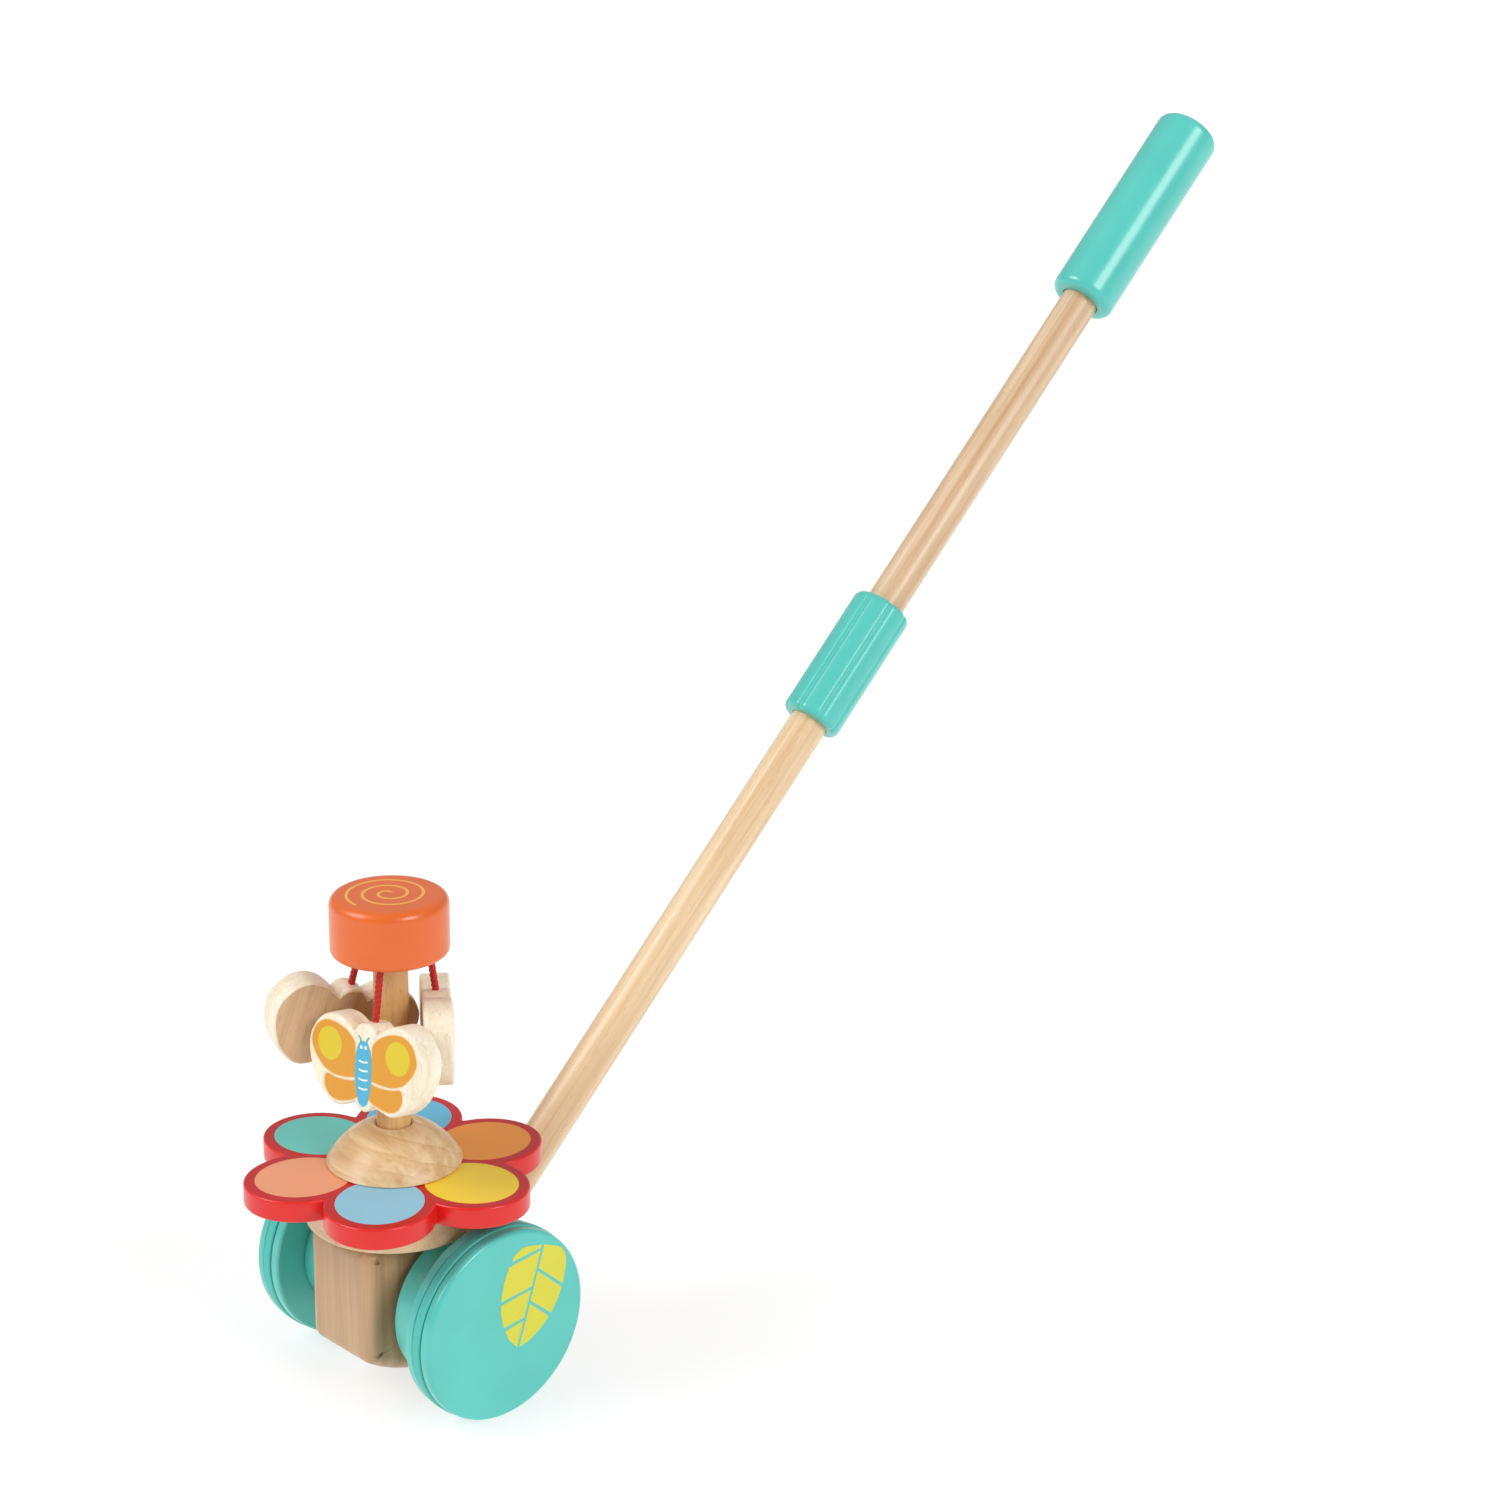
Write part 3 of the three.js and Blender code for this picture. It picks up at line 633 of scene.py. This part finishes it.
def make_wheel(side):
    """A turned wheel with its rubber tyre, the hub and spacer inside it, and its printed leaf."""
    place = WHEEL_SIDES[side]
    hub, hub_r, hub_face = HUBS[side]
    seat = WHEEL_OUTER_X - WHEEL_THICK
    groove = seat + (WHEEL_THICK - TYRE_WIDTH) / 2
    wheel = lathe(
        f"{side}_turned_wheel",
        [
            (0, seat, 0), (FLANGE_R, seat, 1.1), (FLANGE_R, groove, 0.5), (TYRE_GROOVE_R, groove, 0.2),
            (TYRE_GROOVE_R, groove + TYRE_WIDTH, 0.2), (FLANGE_R, groove + TYRE_WIDTH, 0.5),
            (FLANGE_R, WHEEL_OUTER_X, 1.7), (0, WHEEL_OUTER_X, 0),
        ],
        TURQUOISE, place, sides=192,
    )
    finish_piece(wheel, "wheelset", "turquoise_paint", f"{side}_wheel")
    inner = TYRE_GROOVE_R + TOUCHING_GAP
    low, high = groove + 0.35, groove + TYRE_WIDTH - 0.35
    tyre = lathe(
        f"{side}_tyre_band",
        [(inner, low, 0.2), (WHEEL_R, low, 0.7), (WHEEL_R, high, 0.7), (inner, high, 0.2)],
        TURQUOISE_RUBBER, place, loop=True, sides=192,
    )
    finish_piece(tyre, "wheelset", "turquoise_rubber", f"{side}_tyre")
    bore, back = AXLE_R + 0.2, seat - RUNNING_GAP
    turned_hub = lathe(
        f"turned_{hub}",
        [(bore, hub_face, 0.3), (hub_r, hub_face, 1.2), (hub_r, back, 0.4), (bore, back, 0)],
        TURQUOISE, place, loop=True, sides=160,
    )
    finish_piece(turned_hub, "wheelset", "turquoise_paint", hub)
    near, far = BLOCK_HALF + RUNNING_GAP, hub_face - RUNNING_GAP
    spacer = lathe(
        f"{side}_turned_spacer",
        [(bore, near, 0.2), (SPACER_R, near, 0.4), (SPACER_R, far, 0.4), (bore, far, 0.2)],
        wood(f"{side}_spacer_wood", "eddcbc", "d8bd92", seed=3.0), place, loop=True, sides=64,
    )
    finish_piece(spacer, "wheelset", "pale_wood", f"{side}_axle_spacer")
    leaf = prints(f"{side}_leaf_print", leaf_cells(mirror=side == "left"), WHEEL_OUTER_X, LEAF, place)
    finish_piece(leaf, "wheelset", "turquoise_paint")


# The printed leaf: its tip, its lean from upright, and its half width at each distance from the tip.
LEAF = ink("leaf_ink", "d6d034")
LEAF_TIP = Vector((5, -10.6))
LEAF_LEAN = math.radians(18.1)
LEAF_EDGE = [(0, 0), (3.2, 5.2), (8, 9.4), (13, 12.1), (18.5, 13.7), (24, 14.2), (30, 13.7), (34.6, 12.3),
             (37.3, 9.3), (38.3, 5), (38.5, 0)]
LEAF_LENGTH = LEAF_EDGE[-1][0]
LEAF_SAMPLES = 60
PAST_THE_LEAF = 6
# Where the side veins leave the midrib on the leaf's two sides, and how far they drop for each unit outwards.
LEAF_VEINS = {-1: [37, 22.6, 11.2], 1: [29.4, 17.3]}
VEIN_HALF = 0.55
VEIN_DROP = 0.45


def leaf_half_width(t):
    for (t0, w0), (t1, w1) in zip(LEAF_EDGE, LEAF_EDGE[1:]):
        if t0 <= t <= t1:
            return w0 + (w1 - w0) * (t - t0) / (t1 - t0)
    return 0.0


def leaf_cell(high, low):
    """The (out, up from the tip) corners of the cell between two side veins, or the leaf's end or tip."""
    gap = VEIN_HALF * math.hypot(1, VEIN_DROP)
    top, bottom = high - gap, low + gap
    at_midrib = VEIN_DROP * VEIN_HALF
    start = 0.5 if low == 0 else bottom - at_midrib
    cell = [(VEIN_HALF, min(top - at_midrib, LEAF_LENGTH - 0.1)), (VEIN_HALF, start)]
    for t in (LEAF_LENGTH * k / LEAF_SAMPLES for k in range(LEAF_SAMPLES + 1)):
        w = leaf_half_width(t)
        if w > VEIN_HALF and bottom <= t + VEIN_DROP * w <= top:
            cell.append((w, t))
    return cell


def leaf_cells(mirror=False):
    """The leaf's cells between its veins, as outlines on the wheel's face."""
    cells = []
    for side, veins in LEAF_VEINS.items():
        limits = [LEAF_LENGTH + PAST_THE_LEAF, *veins, 0]
        for high, low in zip(limits, limits[1:]):
            outline = [Vector((side * w, t)) for w, t in leaf_cell(high, low)]
            turned = [LEAF_TIP + Matrix.Rotation(-LEAF_LEAN, 2) @ p for p in outline]
            cells.append([Vector((-p.x, p.y)) for p in turned] if mirror else turned)
    return cells


make_wheel("right")
make_wheel("left")

# ---------- block, disc, flower and post ----------


def belly(y):
    """The height of the block's round underside."""
    return BELLY_LOW_Z + BELLY_R - math.sqrt(BELLY_R**2 - (y - BELLY_LOW_Y) ** 2)


def make_block():
    """The wooden block with a round belly and a back that slopes to the stick."""
    corners = [(BLOCK_FRONT, BLOCK_TOP, 5), (BLOCK_FRONT, belly(BLOCK_FRONT), 5.5)]
    corners += [(y, belly(y), 0) for y in range(-28, 16, 3)]
    corners += [(BELLY_END_Y, belly(BELLY_END_Y), 5), (43.6, 36, 5), (17.3, BLOCK_TOP, 5)]
    outline = rounded(corners, loop=True)
    place = basis(Y, Z, X, Vector((0, AXLE.y, 0)))
    material = wood("block_wood", "cfac84", "b08862", along=1, seed=1.3, ring=(60, -30), fine_depth=0.2)
    block = slab("beech_block", outline, -BLOCK_HALF, BLOCK_HALF, 4.5, material, place, steps=8)
    recess = lathe(
        "recess_cutter",
        [(0, RECESS_FOOT, 0), (RECESS_R, RECESS_FOOT, 0), (RECESS_R, RECESS_TOP, 0), (0, RECESS_TOP, 0)],
        STEEL, SPINNER, sides=48,
    )
    cut_away(block, recess)
    finish_piece(block, "chassis", "natural_beech", "chassis_block")


def cut_away(piece, cutter):
    """Cuts the cutter out of the piece and removes the cutter."""
    cut = piece.modifiers.new("cut", "BOOLEAN")
    cut.object = cutter
    cut.solver = "EXACT"
    bpy.context.view_layer.update()
    mesh = bpy.data.meshes.new_from_object(piece.evaluated_get(bpy.context.evaluated_depsgraph_get()))
    piece.modifiers.remove(cut)
    piece.data = mesh
    mesh.set_sharp_from_angle(angle=math.radians(32))
    bpy.data.objects.remove(cutter)


def flower_outline():
    """Each petal's ellipse where it stands outside its neighbours', with the notches slightly rounded."""
    half, steps = math.pi / PETALS, 20
    outline = []

    def on_petal(t):
        return Vector((PETAL_CENTRE_R + PETAL_LONG * math.cos(t), PETAL_WIDE * math.sin(t)))

    limit = max(
        t for t in (math.pi / 2 * k / 400 + math.pi / 4 for k in range(401))
        if on_petal(t).y <= math.tan(half) * on_petal(t).x
    )
    for k in range(PETALS):
        for j in range(-steps, steps):
            point = on_petal(limit * j / steps)
            if j == -steps:
                point *= 1.012
            outline.append(turned_by(point, FIRST_PETAL + 2 * half * k))
    return outline


PETAL_INKS = {
    "yellow": ink("yellow_ink", "f1cd2c"),
    "orange": ink("orange_ink", "f0952e"),
    "blue": ink("blue_ink", "5fb2d3"),
    "teal": ink("teal_ink", "68c8bd"),
    "salmon": ink("salmon_ink", "ea9c74"),
    "sky": ink("sky_ink", "8cc4dd"),
}


def make_flower():
    """The red flower with its six printed petals, on the disc that the right wheel's hub turns."""
    plate = slab("petal_plate", flower_outline(), FLOWER_BOTTOM, FLOWER_TOP, 0.9, RED, SPINNER, steps=4)
    plate.data.materials.append(paint("red_petal_top", "c10c12", 0.38, 0.1))
    for face in plate.data.polygons:
        face.material_index = int(face.center.z > (FLOWER_TOP - 0.1) * MM)
    finish_piece(plate, "spinner", "red_paint", "flower_plate")
    for k, (colour, material) in enumerate(PETAL_INKS.items()):
        turn = FIRST_PETAL + 2 * math.pi * k / PETALS
        centre = turned_by(Vector((PETAL_CENTRE_R, 0)), turn)
        shape = ellipse(centre.x, centre.y, PETAL_LONG - PETAL_RIM, PETAL_WIDE - PETAL_RIM, turn, 96)
        film = prints(f"{colour}_petal_print", [shape], FLOWER_TOP, material, SPINNER)
        finish_piece(film, "spinner", "red_paint")
    disc = lathe(
        "beech_disc",
        [(0, DISC_BOTTOM, 0), (DISC_R, DISC_BOTTOM, 0.8), (DISC_R, DISC_TOP, 0.8), (0, DISC_TOP, 0)],
        wood("disc_wood", BEECH_LIGHT, BEECH_DARK, along=0, seed=4.4, ring=(0, 70)), SPINNER, sides=160,
    )
    finish_piece(disc, "spinner", "natural_beech", "drive_disc")


def make_dome():
    """The round-topped boss on the flower, and the post that stands in it."""
    sphere = (DOME_R**2 + DOME_HEIGHT**2) / (2 * DOME_HEIGHT)
    base, steps = FLOWER_TOP + TOUCHING_GAP, 22
    corners = [(0, base, 0), (DOME_R - 0.4, base, 0), (DOME_R, base + 0.5, 0)]
    for k in range(1, steps + 1):
        x = DOME_R + (POST_R + 0.9 - DOME_R) * k / steps
        corners.append((x, base + math.sqrt(sphere**2 - x * x) - sphere + DOME_HEIGHT, 0))
    top = corners[-1][1]
    corners += [(POST_R + 0.2, top - 0.5, 0), (POST_R + 0.1, top - 4, 0), (0, top - 4, 0)]
    dome_wood = wood(
        "dome_wood", "f2d8ae", "cb9f6b", along=0, seed=2.2, ring=(8, 40),
        band_scale=62.0, wander=1.6, band_depth=0.9, fine_depth=0.35,
    )
    dome = lathe("beech_dome", corners, dome_wood, SPINNER, sides=160)
    finish_piece(dome, "spinner", "natural_beech", "dome")
    post = lathe(
        "beech_post",
        [(0, POST_BOTTOM, 0), (POST_R, POST_BOTTOM, 0.3), (POST_R, POST_TOP, 0.5), (0, POST_TOP, 0)],
        wood("post_wood", "e2b97c", "c69556", seed=5.1), SPINNER, sides=64,
    )
    finish_piece(post, "spinner", "natural_beech", "post")


HOLE_R, HOLE_MOUTH_R = 1.9, 2.6
HOLE_DEPTH = 9.3
# The spiral printed on the cap: its first and last angle in degrees, its growth with each turn, its radius
# at 180 degrees, its line's width and the number of straight steps in it.
SPIRAL_FIRST, SPIRAL_LAST = 50, 950
SPIRAL_PITCH = 5.5
SPIRAL_R = 3.5
SPIRAL_WIDTH = 1.05
SPIRAL_STEPS = 240


def make_cap():
    """The turned cap, with a countersunk hole for each cord and a printed spiral."""
    blank = lathe(
        "painted_cap",
        [(0, CAP_BOTTOM, 0), (CAP_R, CAP_BOTTOM, 2.2), (CAP_R, CAP_TOP, 3.6), (0, CAP_TOP, 0)],
        ORANGE, SPINNER, sides=160,
    )
    for side in HANGING:
        hole = lathe(
            f"{side}_hole_cutter",
            [(0, -1, 0), (HOLE_MOUTH_R, -1, 0), (HOLE_MOUTH_R, 0.2, 0), (HOLE_R, 1.2, 0),
             (HOLE_R, HOLE_DEPTH, 0), (0, HOLE_DEPTH, 0)],
            STEEL, Matrix.Translation(cord_frame(side)[0]), sides=40,
        )
        cut_away(blank, hole)
    finish_piece(blank, "spinner", "orange_paint", "cap")
    line = []
    for k in range(SPIRAL_STEPS + 1):
        degrees = SPIRAL_FIRST + (SPIRAL_LAST - SPIRAL_FIRST) * k / SPIRAL_STEPS
        r = SPIRAL_R + (degrees - 180) / 360 * SPIRAL_PITCH
        angle = math.radians(degrees + CAMERA_AZIMUTH)
        line.append(Vector((r * math.cos(angle), r * math.sin(angle))))
    material = ink("spiral_ink", "f3ae4e")
    spiral = prints("spiral_print", [ribbon(line, SPIRAL_WIDTH)], CAP_TOP, material, SPINNER)
    finish_piece(spiral, "spinner", "orange_paint")


make_block()
make_flower()
make_dome()
make_cap()

# ---------- butterflies ----------

# Half of the butterfly and of its prints, as (out from the middle, down from the cord's end).
HEAD = [(0, -0.3), (2.2, -0.1), (4.3, 1.2), (5.6, 2.8)]
WING = [(5.6, 2.8), (8.3, 1), (11.8, -0.8), (15.7, -1.5), (19.3, -1.1), (23.4, 1.2), (26.6, 5), (28, 8.2),
        (28.3, 11.8), (27.7, 15.7), (26.3, 19.5), (24.1, 23.4), (21.5, 26.5), (18.2, 29), (15.2, 30.4),
        (11.9, 30.6), (7.7, 29.5), (4.6, 28.3)]
TAIL = [(4.6, 28.3), (2.6, 30.3), (0, 31.2)]
WING_PRINT = [(4.4, 7.2), (6.5, 4.8), (10, 2.8), (14.6, 1.5), (19.5, 1.5), (23.5, 3.6), (25.6, 7), (26, 10.5),
              (24, 14.2), (20.6, 17.5), (18.4, 18.7), (14.4, 19.8), (9.8, 19.9), (6, 19.5), (2.8, 18.9),
              (2.6, 17), (3.4, 13), (4.2, 10)]
TAIL_PRINT = [(2.6, 20.2), (5.5, 20.7), (9.4, 21), (14, 20.9), (17.6, 20.1), (18.9, 20.6), (19.5, 22.7),
              (18.9, 25.2), (17, 27.4), (14.2, 28.5), (11.4, 28.6), (6.6, 27.6), (3.4, 26.2), (2.4, 24)]
BODY_PRINT = [(0, 5.9), (1.85, 6.4), (2.8, 7.9), (3.5, 9.7), (4, 13), (4.1, 17), (3.9, 21), (3.3, 24.2),
              (2.6, 26.5), (1.9, 27.9), (0, 29.1)]
ANTENNA = [(1.5, 6.6), (1.6, 5.5), (2, 4.8), (2.9, 4.3)]
EYE_OUT, EYE_DOWN = 1.05, 8.1
STRIPES_DOWN = (12.8, 15.9, 19.1, 22.3)
OVAL_OUT, OVAL_DOWN = 17, 9.3
BORDER_WIDTH = 0.35
LINE_WIDTH = 0.6
CUTOUT_INSET = 0.2  # the cut-out lies this far inside its curve, so that the butterflies' wings never meet
BUTTERFLY_INKS = {
    "border": ink("border_ink", "f2cfa2"),
    "wing": ink("wing_ink", "de9816"),
    "oval": ink("oval_ink", "dcc414"),
    "body": ink("body_ink", "47b0d2"),
    "white": ink("white_ink", "f4f7f4"),
}


def both_sides(points):
    """A right half, given from the top down, and its mirror image as one anticlockwise outline."""
    right = [Vector((x, -y)) for x, y in points]
    left = [Vector((-p.x, p.y)) for p in right if p.x > 0]
    return (right + left[::-1])[::-1]


def butterfly_outline():
    """The whole butterfly, from the curves of its head, wing and tail."""
    half = []
    for part in (HEAD, WING, TAIL):
        half += [(p.x, p.y) for p in smooth_through(part, per=5, loop=False)[1 if half else 0 :]]
    return both_sides(half)


def mirrored(shape):
    """A shape and its mirror image on the other wing."""
    return [shape, [Vector((-p.x, p.y)) for p in shape]]


def on_face(points):
    return [Vector((x, -y)) for x, y in points]


def stripe(y):
    """A short line across the body, which hangs a little in its middle."""
    line = [Vector((x, -y - 0.5 * (1 - (x / 2.5) ** 2))) for x in (-2.4, -1.3, 0, 1.3, 2.4)]
    return ribbon(line, LINE_WIDTH)


def butterfly_prints():
    """The printed shapes as (colour, layer of ink, outlines)."""
    wings = [smooth_through(on_face(points)) for points in (WING_PRINT, TAIL_PRINT)]
    body = both_sides([(p.x, p.y) for p in smooth_through(BODY_PRINT, per=4, loop=False)])
    antenna = smooth_through(on_face(ANTENNA), loop=False)
    eyes = [ellipse(x, -EYE_DOWN, 0.6, 0.65, count=16) for x in (-EYE_OUT, EYE_OUT)]
    return [
        ("border", 0, [shape for wing in wings for shape in mirrored(moved_left(wing, BORDER_WIDTH))]),
        ("wing", 1, [shape for wing in wings for shape in mirrored(wing)]),
        ("oval", 2, mirrored(ellipse(OVAL_OUT, -OVAL_DOWN, 6.0, 5.9))),
        ("body", 2, [body, *mirrored(ribbon(antenna, LINE_WIDTH))]),
        ("white", 3, eyes + [stripe(y) for y in STRIPES_DOWN]),
    ]


def make_butterfly(side, seed):
    """A wooden cut-out with a bare back and a printed front."""
    place = butterfly_frame(side) @ basis(Y, Z, X, Vector())
    body = f"{side}_butterfly"
    half = BUTTERFLY_THICK / 2
    grain = {"along": 1, "seed": seed, "ring": (20 + 9 * seed, 15)}
    front = wood(f"{side}_butterfly_wood", "fcf4e0", "eadbbc", roughness=0.5, coat=0.12, **grain)
    outline = moved_left(butterfly_outline(), CUTOUT_INSET)
    cutout = slab(f"{side}_cutout", outline, -half, half, 1.1, front, place)
    cutout.data.materials.append(wood(f"{side}_butterfly_back", "dcc09a", "c6a27a", coat=0.1, **grain))
    for face in cutout.data.polygons:
        face.material_index = int(face.center.z < -half * 0.99 * MM)
    finish_piece(cutout, body, "pale_wood", body)
    for colour, layer, outlines in butterfly_prints():
        height = half + layer * PRINT_THICK
        film = prints(f"{side}_{colour}_print", outlines, height, BUTTERFLY_INKS[colour], place)
        finish_piece(film, body, "pale_wood")


for hung_seed, hung_side in enumerate(HANGING):
    make_butterfly(hung_side, 1.0 + hung_seed)

# ---------- stick, collar and grip ----------


def make_dowel(name, ends, edges, material):
    (start, end), (start_edge, end_edge) = ends, edges
    corners = [(0, start, 0), (DOWEL_R, start, start_edge), (DOWEL_R, end, end_edge), (0, end, 0)]
    return lathe(name, corners, material, STICK, sides=96)


def make_stick():
    """The stick's two dowels and the turned grip on its end."""
    lower_wood = wood("lower_dowel_wood", "f2d8b2", "d2ab7c", seed=0.4, ring=(30, 10), band_scale=50.0,
                      wander=3.0, fine_depth=0.6)
    lower = make_dowel("lower_beech_dowel", LOWER_DOWEL, (0.4, 0.3), lower_wood)
    finish_piece(lower, "chassis", "natural_beech", "lower_dowel")
    upper_wood = wood("upper_dowel_wood", "e6ccab", "c49c74", seed=7.7, ring=(-24, 18), band_scale=36.0,
                      wander=5.0, fine_depth=0.5)
    upper = make_dowel("upper_beech_dowel", UPPER_DOWEL, (0.3, 0.4), upper_wood)
    finish_piece(upper, "upper_handle", "natural_beech", "upper_dowel")
    bore_end = UPPER_DOWEL[1] + 0.5
    grip = lathe(
        "painted_grip",
        [(STICK_BORE_R, GRIP_START, 0.5), (GRIP_R, GRIP_START, 3.2), (GRIP_R, GRIP_END, 3.6),
         (0, GRIP_END, 0), (0, bore_end, 0), (STICK_BORE_R, bore_end, 0)],
        TURQUOISE, STICK, loop=True, sides=128,
    )
    finish_piece(grip, "upper_handle", "turquoise_paint", "grip")


def make_collar():
    """A sleeve with narrow rounded grooves along it, and round-edged ends."""
    turns = [2 * math.pi * k / 360 for k in range(360)]
    outline = []
    for angle in turns:
        offset = math.remainder(angle - FIRST_GROOVE, 2 * math.pi / COLLAR_GROOVES)
        across = offset * COLLAR_R / GROOVE_HALF_WIDTH
        radius = COLLAR_R - GROOVE_DEPTH * math.exp(-across * across)
        outline.append(Vector((math.cos(angle), math.sin(angle))) * radius)
    rings = slab_rings(outline, COLLAR_START, COLLAR_END, COLLAR_EDGE, 6)
    for z in (COLLAR_END, COLLAR_END - 0.3, COLLAR_START + 0.3, COLLAR_START):
        rings.append([(STICK_BORE_R * math.cos(angle), STICK_BORE_R * math.sin(angle), z) for angle in turns])
    bm = bmesh.new()
    skin(bm, rings, loop=True)
    collar = new_piece("fluted_collar", bm, TURQUOISE, STICK)
    finish_piece(collar, "collar", "turquoise_paint", "collar")


make_stick()
make_collar()

# ---------- the metal pieces keep the solid model's shapes ----------

for node in ("axle", "flower_screw", "screw_washer", "flower_thrust_washer", "stick_screw", "lower_ferrule",
             "upper_ferrule", "locating_key"):
    metal = frame["nodes"][node]
    metal.data.materials.clear()
    metal.data.materials.append(STEEL)
